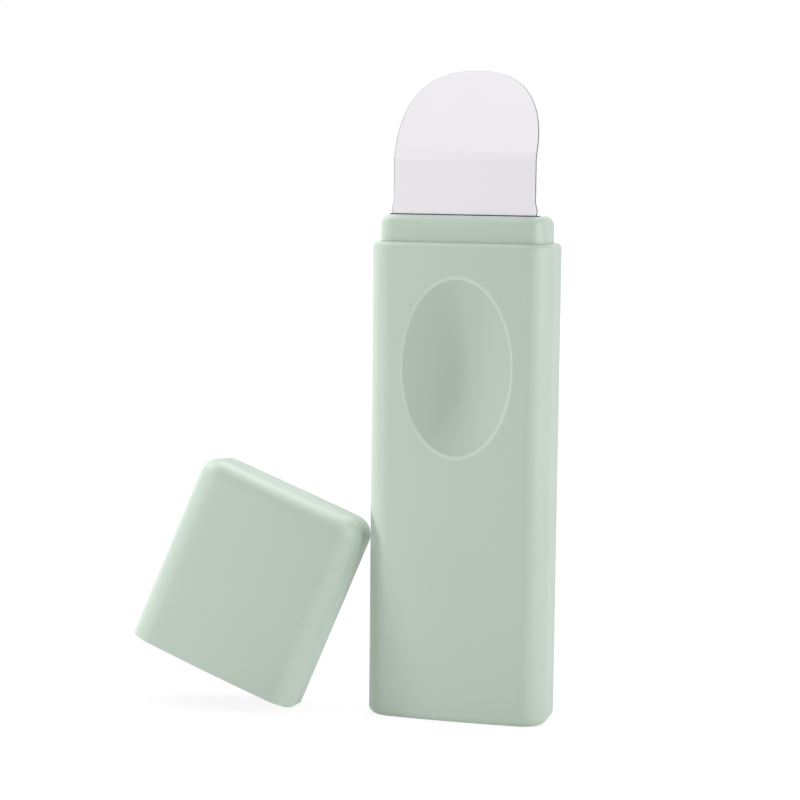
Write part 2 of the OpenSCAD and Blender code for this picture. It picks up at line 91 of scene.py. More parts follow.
# Blade's tail inside the collar, and the two holes for the clamp's screws
TAIL_WIDTH, TAIL_LOW, TAIL_SHOULDER, TAIL_SLOPE = 12 * MM, 65 * MM, 3 * MM, 1.5 * MM
CLAMP_HOLE_R, CLAMP_HOLE_X, CLAMP_HOLE_Z = 0.9 * MM, 3.6 * MM, 70.4 * MM
# Flare at the collar: millimetres above the collar, share of the flare that is left off
FLARE = ((0.3, 0.3), (0.6, 0.08), (0.9, 0.0), (1.2, 0.12), (1.6, 0.5), (2.0, 0.85))
FLARE_TOP = 2.5 * MM
# How far the cutter of the tip's outline reaches past the blade's sides and below the bend
TIP_MARGIN, BELOW_BEND = 0.02 * MM, 45 * MM
# Least share of a face's direction that points to the front or back of the sheet, and most of it
# that may point to a side, for the face not to count as a cut edge
FLAT_SHARE, SIDE_SHARE = 0.8, 0.5

# Grip ribs inside the cap's mouth
RIB_X, RIB_SUNK, RIB_MIDDLE, RIB_R, RIB_LENGTH = 8 * MM, 0.4 * MM, 2.6 * MM, 0.5 * MM, 3.2 * MM
CAP_END_R = 1.6 * MM
CAP_MOUTH_R = 0.15 * MM

# Power button: rounding of its rim, plain ring round the finger hollow, thickness of the flange
BUTTON_R, BUTTON_RING, FLANGE_T, HOLLOW_STEPS = 0.4 * MM, 0.75 * MM, 0.55 * MM, 13

# Range in which most values of a noise texture lie
NOISE_LOW, NOISE_HIGH = 0.3, 0.7

# Distances from the object's foot between which the floor turns from shaded to plain white
SHADE_NEAR, SHADE_FAR = 0.08, 0.4
LAMP_AIM = Vector((-0.012, 0, 0.045))
SHADOW_LAMP = "key"

# Camera: turns in radians, aim, distance back and shifts in metres, lens in pixels
CAMERA_YAW, CAMERA_PITCH, CAMERA_ROLL = 0.27501, 0.11544, 0.01051
CAMERA_AIM = Vector((0, 0, 0.04))
CAMERA_BACK, CAMERA_RIGHT, CAMERA_UP = 0.357548, -0.010458, 0.012179
CAMERA_LENS, PICTURE_WIDTH, SENSOR_WIDTH = 2186.856, 800, 36


def length(name, description, millimetres):
    return FloatProperty(name=name, description=description, default=millimetres * MM,
                         unit="LENGTH", precision=5)


def angle(name, description, degrees):
    return FloatProperty(name=name, description=description, default=math.radians(degrees),
                         subtype="ANGLE", unit="ROTATION")


def number(name, description, value):
    return FloatProperty(name=name, description=description, default=value)


def colour(name, description, value):
    return FloatVectorProperty(name=name, description=description, default=value, size=3,
                               min=0.0, max=1.0, subtype="COLOR")


class HousingSizes(bpy.types.PropertyGroup):
    width: length("Width", "Width across the front face", 30)
    depth: length("Depth", "Depth from front face to back face", 13)
    height: length("Height", "Height up to the shoulder", 78)
    edge_r: length("Edge radius", "Radius of the long upright edges", 3.8)
    foot_r: length("Foot radius", "Rounding of the bottom edge", 1.2)
    shoulder_r: length("Shoulder radius", "Rounding of the shoulder's outer edge", 0.9)
    crown: length("Crown", "Bulge of the front and back faces across the width", 0.4)
    wall: length("Wall", "Thickness of the side walls", 1.5)
    floor: length("Floor", "Thickness of the bottom", 1.6)
    dish_width: length("Dish width", "Width of the thumb dish at its rim", 18.2)
    dish_height: length("Dish height", "Height of the thumb dish at its rim", 29)
    dish_depth: length("Dish depth", "Depth of the thumb dish at its middle", 2)
    dish_middle: length("Dish middle", "Height of the middle of the thumb dish", 58)
    dish_skin: length("Dish skin", "Thickness left behind the thumb dish", 1.2)
    rim_soft: length("Rim softness", "Depth over which the thumb dish's rim is rounded", 0.08)
    hole_r: length("Hole break", "Softness of the rims of the holes", 0.15)


class CollarSizes(bpy.types.PropertyGroup):
    height: length("Height", "Height of the collar above the shoulder", 4.3)
    inset: length("Inset", "Step from the housing in to the collar", 1.3)
    top_r: length("Top radius", "Rounding of the collar's top edge", 1.6)
    plug: length("Plug", "Depth to which the plug enters the housing", 8)
    wall: length("Wall", "Thickness of the plug's walls", 1.1)
    roof: length("Roof", "Thickness of the collar's top", 1.6)
    gap: length("Gap", "Free space round the plug", 0.1)
    slot_gap: length("Slot gap", "Free space round the blade in its slot", 0.35)


class BladeSizes(bpy.types.PropertyGroup):
    width: length("Width", "Width of the blade", 23.4)
    thickness: length("Thickness", "Thickness of the steel", 0.45)
    front: length("Front", "Place of the front face from the housing's middle", -2.5)
    straight: length("Straight", "Straight height between collar and bend", 8.4)
    bend: angle("Bend", "Angle by which the tip leans to the back", 27.8)
    bend_r: length("Bend radius", "Radius of the bend on the front face", 4)
    tip: length("Tip", "Length of the rounded tip past the bend", 14.6)
    squareness: number("Squareness", "Squareness of the tip, where 2 is an ellipse", 2.45)
    foot_width: length("Foot width", "Width of the flare at the collar", 24)
    edge_r: length("Edge break", "Softness of the cut edges", 0.09)


class CapSizes(bpy.types.PropertyGroup):
    height: length("Height", "Height of the cap", 33)
    mouth_r: length("Mouth radius", "Rounding of the mouth's edge", 0.25)
    top_r: length("Top radius", "Rounding round the closed end", 3.2)
    wall: length("Wall", "Thickness of the side walls", 1.15)
    roof: length("Roof", "Thickness of the closed end", 1.7)
    tilt: angle("Tilt", "Lean towards the housing", 21.5)
    lean: angle("Lean", "Lean towards the back", 6)
    turn: angle("Turn", "Turn about the upright", 2.6)
    across: length("Across", "Place of the mouth's middle to the side", -41.2)
    back: length("Back", "Place of the mouth's middle to the back", -4.5)


class ButtonSizes(bpy.types.PropertyGroup):
    diameter: length("Diameter", "Diameter of the button", 8.4)
    middle: length("Middle", "Height of the button's middle", 35)
    gap: length("Gap", "Free space round the button", 0.2)
    hollow: length("Hollow", "Depth of the finger hollow", 0.14)
    light_diameter: length("Light diameter", "Diameter of the light window", 1.6)
    light_middle: length("Light middle", "Height of the light window", 43.4)
    socket_width: length("Socket width", "Width of the charging socket", 8.9)
    socket_depth: length("Socket depth", "Depth of the charging socket", 3.2)
    socket_back: length("Socket place", "Place of the charging socket to the back", 2.2)


class Finish(bpy.types.PropertyGroup):
    plastic: colour("Plastic", "Colour of the moulded plastic", (0.58, 0.685, 0.592))
    # Painted highlight: the thumb dish's rim is coloured lighter than the plastic round it, to
    # stand in for the light caught along the rim.
    rim: colour("Dish rim", "Colour of the thumb dish's worn rim", (0.67, 0.77, 0.68))
    # Painted shade: the thumb dish is coloured darker than the plastic round it, to stand in for
    # the shade in the hollow.
    dish: colour("Dish", "Colour of the thumb dish", (0.515, 0.62, 0.535))
    steel: colour("Steel", "Colour of the blade's faces", (0.715, 0.70, 0.725))
    # Painted shade: the blade's cut edges are coloured near black, to draw the dark line of shade
    # along the blade's outline.
    painted_edge_shade: colour("Cut edge", "Colour of the blade's cut edges", (0.12, 0.12, 0.125))
    sheen_roughness: number("Plastic roughness", "Roughness of the moulded plastic", 0.44)


class StudioSettings(bpy.types.PropertyGroup):
    ambient: number("Ambient", "Strength of the light from all round", 0.02)
    shadow_share: number("Floor shadow", "Share of the real floor shade seen near the object", 0.2)
    floor_white: number("Floor white", "Strength of the floor's own white", 1.1)


def choose(piece):
    """Makes one piece the only selected and the active one."""
    bpy.ops.object.select_all(action="DESELECT")
    piece.hide_set(False)
    bpy.context.view_layer.objects.active = piece
    piece.select_set(True)


def settle(name):
    """Names the new piece and puts its place, turn and scale into its mesh."""
    piece = bpy.context.active_object
    piece.name = name
    piece.data.name = name
    bpy.ops.object.transform_apply(location=True, rotation=True, scale=True)
    return piece


def add_block(name, low, high):
    low, high = Vector(low), Vector(high)
    bpy.ops.object.select_all(action="DESELECT")
    bpy.ops.mesh.primitive_cube_add(size=1, location=(low + high) / 2, scale=high - low)
    return settle(name)


def add_pin(name, radius, low, high, steps):
    """Round pin between two points on a line along Y."""
    low, high = Vector(low), Vector(high)
    bpy.ops.object.select_all(action="DESELECT")
    bpy.ops.mesh.primitive_cylinder_add(vertices=steps, radius=radius, depth=(high - low).length,
                                        location=(low + high) / 2, rotation=(math.pi / 2, 0, 0))
    return settle(name)


def pick(piece, kind, test):
    """In edit mode, selects the edges or faces of the piece that pass the test."""
    bpy.ops.mesh.select_mode(type="EDGE" if kind == "edges" else "FACE")
    bpy.ops.mesh.select_all(action="DESELECT")
    mesh = bmesh.from_edit_mesh(piece.data)
    mesh.normal_update()
    found = [part for part in getattr(mesh, kind) if test(part)]
    for part in found:
        part.select_set(True)
    bmesh.update_edit_mesh(piece.data)
    return len(found)


def soften(piece, test, radius, steps):
    """Rounds the edges that pass the test."""
    choose(piece)
    bpy.ops.object.mode_set(mode="EDIT")
    if not pick(piece, "edges", test):
        raise RuntimeError(f"{piece.name}: no edge to round")
    bpy.ops.mesh.bevel(offset_type="OFFSET", offset=radius, segments=steps, profile=0.5,
                       affect="EDGES", clamp_overlap=False)
    bpy.ops.mesh.select_all(action="SELECT")
    bpy.ops.mesh.remove_doubles(threshold=SAME_PLACE)
    bpy.ops.object.mode_set(mode="OBJECT")


def upright(edge):
    a, b = (v.co for v in edge.verts)
    return (a.xy - b.xy).length < TINY


def rim(inside, least_angle=-1.0):
    """Test for edges with both ends inside and more than this angle between their two faces."""
    return lambda edge: (all(inside(vertex.co) for vertex in edge.verts)
                         and edge.calc_face_angle(0) > least_angle)


def at_height(height):
    return rim(lambda place: abs(place.z - height) < TINY)


def soft_block(name, low, high, upright_r, low_r=0.0, top_r=0.0):
    """Upright block with rounded upright edges and, where asked for, rounded ends."""
    block = add_block(name, low, high)
    soften(block, upright, upright_r, UPRIGHT_STEPS)
    if low_r:
        soften(block, at_height(low[2]), low_r, RIM_STEPS)
    if top_r:
        soften(block, at_height(high[2]), top_r, RIM_STEPS)
    return block


def crown(piece, sizes):
    """Bulges the long faces a little: the piece gets thinner towards its narrow sides."""
    flat_w = sizes.width / 2 - sizes.edge_r
    choose(piece)
    bpy.ops.object.mode_set(mode="EDIT")
    for step in range(1, CROWN_STRIPS):
        bpy.ops.mesh.select_all(action="SELECT")
        bpy.ops.mesh.bisect(plane_co=(flat_w * (2 * step / CROWN_STRIPS - 1), 0, 0),
                            plane_no=(1, 0, 0))
    bpy.ops.object.mode_set(mode="OBJECT")
    warp(piece, sizes)


def warp(piece, sizes):
    """Moves each point towards the middle by the crown's curve."""
    flat_w, half_t = sizes.width / 2 - sizes.edge_r, sizes.depth / 2
    for vertex in piece.data.vertices:
        vertex.co.y *= 1 - sizes.crown / half_t * (vertex.co.x / flat_w) ** 2


def carve(piece, cutter, operation="DIFFERENCE"):
    """Cuts the piece with another shape, or joins them, and throws the shape away."""
    choose(piece)
    modifier = piece.modifiers.new("Carve", "BOOLEAN")
    modifier.operation = operation
    modifier.solver = "EXACT"
    modifier.object = cutter
    bpy.ops.object.modifier_apply(modifier=modifier.name)
    bpy.data.objects.remove(cutter, do_unlink=True)


def polish(piece, smooth_angle=SMOOTH_ANGLE):
    """Smooth shading that keeps the flat faces flat."""
    choose(piece)
    bpy.ops.object.shade_smooth_by_angle(angle=smooth_angle)
    modifier = piece.modifiers.new("Flat faces", "WEIGHTED_NORMAL")
    modifier.mode = "FACE_AREA"
    modifier.weight = 80
    modifier.keep_sharp = True
    bpy.ops.object.modifier_apply(modifier=modifier.name)


def hand_over(piece, body, node, slot, *materials):
    """Gives the piece its finishes, puts it in its CAD body and hides the CAD node that it stands
    for.
    """
    piece.data.materials.clear()
    for material in materials:
        piece.data.materials.append(material)
    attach(piece, body)
    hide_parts(node)


class Surface:
    """A node material with Object coordinates and short calls for its usual nodes."""

    def __init__(self, name, base, roughness, metallic=0.0):
        self.material = bpy.data.materials.new(name)
        self.material.use_nodes = True
        self.tree = self.material.node_tree
        self.shader = self.tree.nodes["Principled BSDF"]
        self.shader.inputs["Base Color"].default_value = (*base, 1.0)
        self.shader.inputs["Roughness"].default_value = roughness
        self.shader.inputs["Metallic"].default_value = metallic
        self.base = base
        self.place = self.node("ShaderNodeTexCoord").outputs["Object"]

    def node(self, kind, **settings):
        """New node with values for its inputs, where _ stands for a space, or for its settings."""
        node = self.tree.nodes.new(kind)
        for key, value in settings.items():
            socket = key.replace("_", " ")
            if socket in node.inputs:
                node.inputs[socket].default_value = value
            else:
                setattr(node, key, value)
        return node

    def link(self, output, target):
        self.tree.links.new(output, target)

    def mapped(self, **settings):
        """Object coordinates, stretched or turned."""
        mapping = self.node("ShaderNodeMapping", **settings)
        self.link(self.place, mapping.inputs["Vector"])
        return mapping.outputs["Vector"]

    def noise(self, scale, detail, stretch=None):
        node = self.node("ShaderNodeTexNoise", Scale=scale, Detail=detail)
        place = self.mapped(Scale=stretch) if stretch else self.place
        self.link(place, node.inputs["Vector"])
        return node.outputs["Fac"]

    def mottle(self, source, amount):
        """Lets the base colour drift a little round its middle."""
        ramp = self.node("ShaderNodeValToRGB")
        ends = ramp.color_ramp.elements
        ends[0].position, ends[1].position = NOISE_LOW, NOISE_HIGH
        ends[0].color = (*(c * (1 - amount) for c in self.base), 1.0)
        ends[1].color = (*(min(c * (1 + amount), 1.0) for c in self.base), 1.0)
        self.link(source, ramp.inputs["Fac"])
        self.link(ramp.outputs["Color"], self.shader.inputs["Base Color"])

    def gloss(self, source, low, high):
        """Lets the roughness drift between two values."""
        spread = self.node("ShaderNodeMapRange", From_Min=NOISE_LOW, From_Max=NOISE_HIGH,
                           To_Min=low, To_Max=high)
        self.link(source, spread.inputs["Value"])
        self.link(spread.outputs["Result"], self.shader.inputs["Roughness"])

    def relief(self, source, height, strength=1.0):
        bump = self.node("ShaderNodeBump", Distance=height, Strength=strength)
        self.link(source, bump.inputs["Height"])
        self.link(bump.outputs["Normal"], self.shader.inputs["Normal"])


def moulded(name, base, roughness, drift=0.012, grain=3e-7):
    """Fine spark-eroded moulding: faint clouds in the colour and a very fine skin."""
    surface = Surface(name, base, roughness)
    surface.mottle(surface.noise(scale=55, detail=1.0), drift)
    surface.gloss(surface.noise(scale=120, detail=1.0), roughness - 0.01, roughness + 0.01)
    surface.relief(surface.noise(scale=5200, detail=2.0), grain)
    surface.shader.inputs["Specular IOR Level"].default_value = 0.8
    return surface.material


def rolled_steel(name, base, roughness, grain=(1.0, 0.2, 0.2)):
    """Satin sheet with very fine rolling lines."""
    surface = Surface(name, base, roughness, metallic=1.0)
    surface.mottle(surface.noise(scale=60, detail=1.0), 0.005)
    surface.gloss(surface.noise(scale=240, detail=1.0), roughness - 0.005, roughness + 0.005)
    surface.relief(surface.noise(scale=6500, detail=2.0, stretch=grain), 2e-7, strength=0.5)
    return surface.material


def turned_metal(name, base, roughness):
    """Plain metal with fine rings from the lathe along its height."""
    surface = Surface(name, base, roughness, metallic=1.0)
    rings = surface.noise(scale=1500, detail=2.0, stretch=(0.03, 0.03, 1.0))
    surface.mottle(rings, 0.08)
    surface.gloss(surface.noise(scale=700, detail=3.0), roughness - 0.08, roughness + 0.08)
    surface.relief(rings, 3e-6)
    return surface.material


def grainy(name, base, roughness, size, drift, height):
    """Rubber, foam, ferrite or fired ceramic: speckle of one size with a fine relief."""
    surface = Surface(name, base, roughness)
    speckle = surface.noise(scale=1.0 / size, detail=4.0)
    surface.mottle(speckle, drift)
    surface.gloss(surface.noise(scale=0.4 / size, detail=2.0), roughness - 0.06, roughness + 0.06)
    surface.relief(speckle, height)
    return surface.material


def board_laminate(name, base):
    """Solder mask over copper: lighter straight traces under a glossy green film."""
    surface = Surface(name, base, 0.3)
    bricks = surface.node("ShaderNodeTexBrick", Scale=420.0, Mortar_Size=0.035,
                          Color1=(*base, 1.0), Color2=(*(c * 0.85 for c in base), 1.0),
                          Mortar=(*(min(c * 1.9, 1.0) for c in base), 1.0))
    surface.link(surface.mapped(Rotation=(math.pi / 2, 0, 0)), bricks.inputs["Vector"])
    surface.link(bricks.outputs["Color"], surface.shader.inputs["Base Color"])
    surface.relief(bricks.outputs["Fac"], 3e-5, strength=0.5)
    surface.gloss(surface.noise(scale=400, detail=2.0), 0.25, 0.36)
    return surface.material


def clear_moulding(name, base, transmission):
    """Clear or milky plastic with faint clouds."""
    surface = Surface(name, base, 0.28)
    surface.shader.inputs["Transmission Weight"].default_value = transmission
    surface.shader.inputs["IOR"].default_value = 1.49
    surface.mottle(surface.noise(scale=800, detail=2.0), 0.02)
    surface.gloss(surface.noise(scale=1200, detail=2.0), 0.24, 0.34)
    return surface.material


def foil(name, base):
    """Laminated pouch: soft wrinkles and a dull metal sheen."""
    surface = Surface(name, base, 0.4, metallic=0.85)
    wrinkles = surface.noise(scale=260, detail=5.0, stretch=(1.0, 1.0, 0.5))
    surface.mottle(wrinkles, 0.05)
    surface.gloss(surface.noise(scale=900, detail=3.0), 0.32, 0.5)
    surface.relief(wrinkles, 6e-5, strength=0.7)
    return surface.material


def dish_radii(sizes):
    """Radii of the thumb dish's curves across and along the handle."""
    depth = sizes.dish_depth
    return (((size / 2) ** 2 + depth ** 2) / (2 * depth)
            for size in (sizes.dish_width, sizes.dish_height))


def dish_cutter(sizes, grow=0.0):
    """Part of a ring, as thick as the dish is round across, spun along the handle's height."""
    across_r, along_r = dish_radii(sizes)
    hub = Vector((0, sizes.dish_depth - sizes.depth / 2 - along_r, sizes.dish_middle))
    outward = Vector((0, math.cos(DISH_REACH), -math.sin(DISH_REACH)))
    arm = along_r - across_r
    bpy.ops.object.select_all(action="DESELECT")
    bpy.ops.mesh.primitive_circle_add(vertices=300, radius=across_r + grow, fill_type="NGON",
                                      location=hub + outward * arm, rotation=(-DISH_REACH, 0, 0))
    cutter = settle("dish_cutter")
    bpy.ops.object.mode_set(mode="EDIT")
    bpy.ops.mesh.select_all(action="SELECT")
    flat_place = hub + outward * (arm + (across_r + grow) * math.cos(DISH_SPREAD))
    bpy.ops.mesh.bisect(plane_co=flat_place, plane_no=outward, clear_inner=True)
    bpy.ops.mesh.select_mode(type="FACE")
    bpy.ops.mesh.select_all(action="SELECT")
    bpy.ops.mesh.spin(steps=76, angle=-2 * DISH_REACH, center=hub, axis=(1, 0, 0))
    bpy.ops.mesh.select_all(action="SELECT")
    bpy.ops.mesh.remove_doubles(threshold=SAME_PLACE)
    bpy.ops.mesh.normals_make_consistent(inside=False)
    bpy.ops.object.mode_set(mode="OBJECT")
    return cutter


def dish_fall(sizes, x, z):
    """Depth of the thumb dish below the front face, less than 0 outside of its rim."""
    across_r, along_r = dish_radii(sizes)
    swing = along_r - across_r + math.sqrt(across_r ** 2 - x ** 2)
    return math.sqrt(swing ** 2 - (z - sizes.dish_middle) ** 2) - (along_r - sizes.dish_depth)


def dish_bowl(sizes):
    """Outside of the thumb dish, ring by ring from just past its soft rim to its middle."""
    half_w, half_h = sizes.dish_width / 2, sizes.dish_height / 2
    front, middle, soft = -sizes.depth / 2, sizes.dish_middle, sizes.rim_soft

    def depth_at(x, z):
        bare = dish_fall(sizes, x, z)
        if bare >= soft:
            return bare
        if bare <= -soft:
            return 0.0
        return (bare + soft) ** 2 / (4 * soft)

    rings = [(BOWL_PAST_RIM * MM - step * BOWL_STEP * MM, 1.0) for step in range(BOWL_RIM_RINGS)]
    innermost = BOWL_PAST_RIM - (BOWL_RIM_RINGS - 1) * BOWL_STEP
    rings += [(innermost * MM, 1 - step / BOWL_RINGS) for step in range(1, BOWL_RINGS)]
    bpy.ops.object.select_all(action="DESELECT")
    bpy.ops.mesh.primitive_circle_add(vertices=240, radius=1, fill_type="NGON",
                                      rotation=(math.pi / 2, 0, 0),
                                      location=(0, front - MM, middle))
    bowl = settle("dish_bowl")
    choose(bowl)
    bpy.ops.object.mode_set(mode="EDIT")
    bpy.ops.mesh.select_all(action="SELECT")
    last = (1.0, 1.0)
    for place, (grow, scale) in enumerate([rings[0]] + rings):
        size = ((half_w + grow) * scale, (half_h + grow) * scale)
        if place:
            bpy.ops.mesh.extrude_region_move()
        bpy.ops.transform.resize(value=(size[0] / last[0], 1, size[1] / last[1]),
                                 center_override=(0, front, middle))
        last = size
        if place:
            mesh = bmesh.from_edit_mesh(bowl.data)
            for vertex in mesh.verts:
                if vertex.select:
                    depth = max(depth_at(vertex.co.x, vertex.co.z), BOWL_LEAST_DEPTH)
                    vertex.co.y = front + depth
            bmesh.update_edit_mesh(bowl.data)
    bpy.ops.mesh.select_all(action="SELECT")
    bpy.ops.mesh.normals_make_consistent(inside=False)
    bpy.ops.object.mode_set(mode="OBJECT")
    return bowl


def build_housing(settings):
    sizes, collar, fittings = settings.housing, settings.collar, settings.fittings
    w, t, h = sizes.width / 2, sizes.depth / 2, sizes.height
    above = h + sizes.wall
    shell = soft_block("housing", (-w, -t, 0), (w, t, h),
                       sizes.edge_r, sizes.foot_r, sizes.shoulder_r)
    crown(shell, sizes)

    inner_w, inner_t = w - sizes.wall, t - sizes.wall
    hollow = soft_block("hollow", (-inner_w, -inner_t, sizes.floor), (inner_w, inner_t, above),
                        sizes.edge_r - sizes.wall)
    carve(hollow, dish_cutter(sizes, sizes.dish_skin))
    carve(shell, hollow)

    plug_w = w - collar.inset + collar.gap
    plug_t = t - collar.inset + collar.gap
    socket = soft_block("plug_socket", (-plug_w, -plug_t, h - collar.plug), (plug_w, plug_t, above),
                        sizes.edge_r - collar.inset + collar.gap)
    crown(socket, sizes)
    carve(shell, socket)
    bowl = dish_bowl(sizes)
    warp(bowl, sizes)
    carve(shell, bowl)

    button_r = fittings.diameter / 2 + fittings.gap
    light_r = fittings.light_diameter / 2 + LIGHT_GAP
    for name, radius, height, steps in (("button_hole", button_r, fittings.middle, 96),
                                        ("light_hole", light_r, fittings.light_middle, 48)):
        carve(shell, add_pin(name, radius, (0, inner_t - MM, height),
                             (0, t + sizes.wall, height), steps))
    slot_w = fittings.socket_width / 2 + fittings.gap
    slot_t = fittings.socket_depth / 2 + fittings.gap
    back = fittings.socket_back
    carve(shell, soft_block("socket_hole", (-slot_w, back - slot_t, -MM),
                            (slot_w, back + slot_t, sizes.floor + MM), slot_t * SLOT_ROUND))

    def hole_rim(radius, height):
        return rim(lambda place: place.y > inner_t + TINY
                   and abs(math.hypot(place.x, place.z - height) - radius) < HOLE_MARGIN, SQUARE)

    socket_rim = rim(lambda place: abs(place.z) < TINY and abs(place.x) < slot_w + TINY
                     and abs(place.y - back) < slot_t + TINY, SHARP)
    soften(shell, hole_rim(button_r, fittings.middle), sizes.hole_r, 3)
    soften(shell, hole_rim(light_r, fittings.light_middle), sizes.hole_r / 2, 2)
    soften(shell, socket_rim, sizes.hole_r, 3)
    return shell


def paint_dish_highlight_and_shade(shell, sizes):
    """Gives the second finish, a painted highlight, to the thumb dish's soft rim and the third,
    painted shade, to the dish itself.
    """
    reach_w, reach_h = sizes.dish_width / 2 + MM, sizes.dish_height / 2 + MM
    deepest = DISH_PAINT_DEPTH - sizes.depth / 2

    def fall(point):
        x, y, z = point.co
        if abs(x) > reach_w or abs(z - sizes.dish_middle) > reach_h or y > deepest:
            return -MM
        return dish_fall(sizes, x, z)

    falls = [fall(point) for point in shell.data.vertices]
    for face in shell.data.polygons:
        found = [falls[corner] for corner in face.vertices]
        if max(abs(one) for one in found) < sizes.rim_soft * RIM_HIGHLIGHT_SHARE:
            face.material_index = 1
        elif min(found) > 0:
            face.material_index = 2


def build_collar(settings):
    housing, sizes, blade = settings.housing, settings.collar, settings.blade
    w, t = housing.width / 2 - sizes.inset, housing.depth / 2 - sizes.inset
    r = housing.edge_r - sizes.inset
    low, top = housing.height - sizes.plug, housing.height + sizes.height
    collar = soft_block("collar", (-w, -t, low), (w, t, top), r, PLUG_LOW_R, sizes.top_r)
    crown(collar, housing)
    for side in (-1, 1):
        catch = add_block("catch", (side * w - CATCH_OUT, -CATCH_HALF, low + CATCH_LOW),
                          (side * w + CATCH_OUT, CATCH_HALF, low + CATCH_TOP))
        carve(collar, catch, "UNION")
    inner_w, inner_t = w - sizes.wall, t - sizes.wall
    carve(collar, soft_block("hollow", (-inner_w, -inner_t, low - MM),
                             (inner_w, inner_t, top - sizes.roof), r - sizes.wall))
    slot_w = blade.foot_width / 2 + sizes.slot_gap
    slot_t = blade.thickness / 2 + sizes.slot_gap
    middle = blade.front + blade.thickness / 2
    carve(collar, soft_block("slot", (-slot_w, middle - slot_t, top - 2 * sizes.roof),
                             (slot_w, middle + slot_t, top + sizes.roof), slot_t * SLOT_ROUND))
    for side in (-1, 1):
        window = add_block("arm_window",
                           (side * inner_w - WINDOW_OUT, -WINDOW_HALF, low + WINDOW_LOW),
                           (side * inner_w + WINDOW_OUT, WINDOW_HALF, low + WINDOW_TOP))
        carve(collar, window)
    slot_rim = rim(lambda place: abs(place.z - top) < TINY and abs(place.x) < slot_w + TINY
                   and abs(place.y - middle) < slot_t + TINY, SHARP)
    soften(collar, slot_rim, SLOT_R, 3)
    return collar


def build_blade(settings):
    sizes, collar = settings.blade, settings.collar
    top = settings.housing.height + collar.height
    bend_z, shoulder_z = top + sizes.straight, top - TAIL_SHOULDER
    flare = sizes.foot_width - sizes.width
    flared = [(top + up * MM, sizes.foot_width - share * flare) for up, share in FLARE]
    outline = [(shoulder_z - TAIL_SLOPE, TAIL_WIDTH), (shoulder_z, flared[0][1]), *flared,
               (top + FLARE_TOP, sizes.width), (bend_z, sizes.width)]
    front, back = sizes.front, sizes.front + sizes.thickness
    blade = add_block("blade_sheet", (-TAIL_WIDTH / 2, front, TAIL_LOW),
                      (TAIL_WIDTH / 2, back, outline[0][0]))
    bpy.ops.object.mode_set(mode="EDIT")
    pick(blade, "faces", lambda face: face.normal.z > 0.9)
    height, width = outline[0]
    for next_height, next_width in outline[1:]:
        rise = (0, 0, next_height - height)
        bpy.ops.mesh.extrude_region_move(TRANSFORM_OT_translate={"value": rise})
        bpy.ops.transform.resize(value=(next_width / width, 1, 1),
                                 center_override=(0, front, next_height))
        height, width = next_height, next_width
    hub = Vector((0, front + sizes.bend_r, bend_z))
    bpy.ops.mesh.spin(steps=14, angle=sizes.bend, center=hub, axis=(1, 0, 0))
    up = Vector((0, math.sin(sizes.bend), math.cos(sizes.bend)))
    bpy.ops.mesh.extrude_region_move(TRANSFORM_OT_translate={"value": up * (sizes.tip + MM)})
    bpy.ops.mesh.select_all(action="SELECT")
    bpy.ops.mesh.remove_doubles(threshold=SAME_PLACE / 10)
    bpy.ops.mesh.normals_make_consistent(inside=False)
    bpy.ops.object.mode_set(mode="OBJECT")

    carve(blade, tip_cutter(sizes, bend_z), "INTERSECT")
    for side in (-1, 1):
        carve(blade, add_pin("clamp_hole", CLAMP_HOLE_R,
                             (side * CLAMP_HOLE_X, front - MM, CLAMP_HOLE_Z),
                             (side * CLAMP_HOLE_X, back + MM, CLAMP_HOLE_Z), 32))
    choose(blade)
    modifier = blade.modifiers.new("Edge break", "BEVEL")
    modifier.width = sizes.edge_r
    modifier.segments = 1
    modifier.limit_method = "ANGLE"
    modifier.angle_limit = math.radians(50)
    modifier.use_clamp_overlap = False
    bpy.ops.object.modifier_apply(modifier=modifier.name)
    return blade


def tip_cutter(sizes, bend_z):
    """Thick slab with the outline of the rounded tip, wide enough below to cut nothing there."""
    root = Vector((0, sizes.front + sizes.bend_r * (1 - math.cos(sizes.bend)),
                   bend_z + sizes.bend_r * math.sin(sizes.bend)))
    bpy.ops.object.select_all(action="DESELECT")
    bpy.ops.mesh.primitive_cylinder_add(vertices=192, radius=1, depth=80 * MM)
    cutter = bpy.context.active_object
    half_w = sizes.width / 2 + TIP_MARGIN
    turn = Matrix.Rotation(math.pi / 2 - sizes.bend, 4, "X")
    for vertex in cutter.data.vertices:
        c, s, layer = vertex.co
        if s >= -TINY:
            x = half_w * math.copysign(abs(c) ** (2 / sizes.squareness), c)
            y = sizes.tip * abs(s) ** (2 / sizes.squareness)
        else:
            reach = max(abs(c), abs(s))
            x, y = sizes.width * c / reach, BELOW_BEND * s / reach
        vertex.co = root + turn @ Vector((x, y, layer))
    return settle("tip_outline")


def paint_blade_edge_shade(blade, sizes):
    """Gives the second finish, painted shade, to all faces that aren't the sheet's front or back.
    """
    lean = Vector((0, math.cos(sizes.bend), -math.sin(sizes.bend)))
    for face in blade.data.polygons:
        flat = max(abs(face.normal.dot(lean)), abs(face.normal.y))
        cut = flat < FLAT_SHARE or abs(face.normal.x) > SIDE_SHARE
        face.material_index = 1 if cut else 0


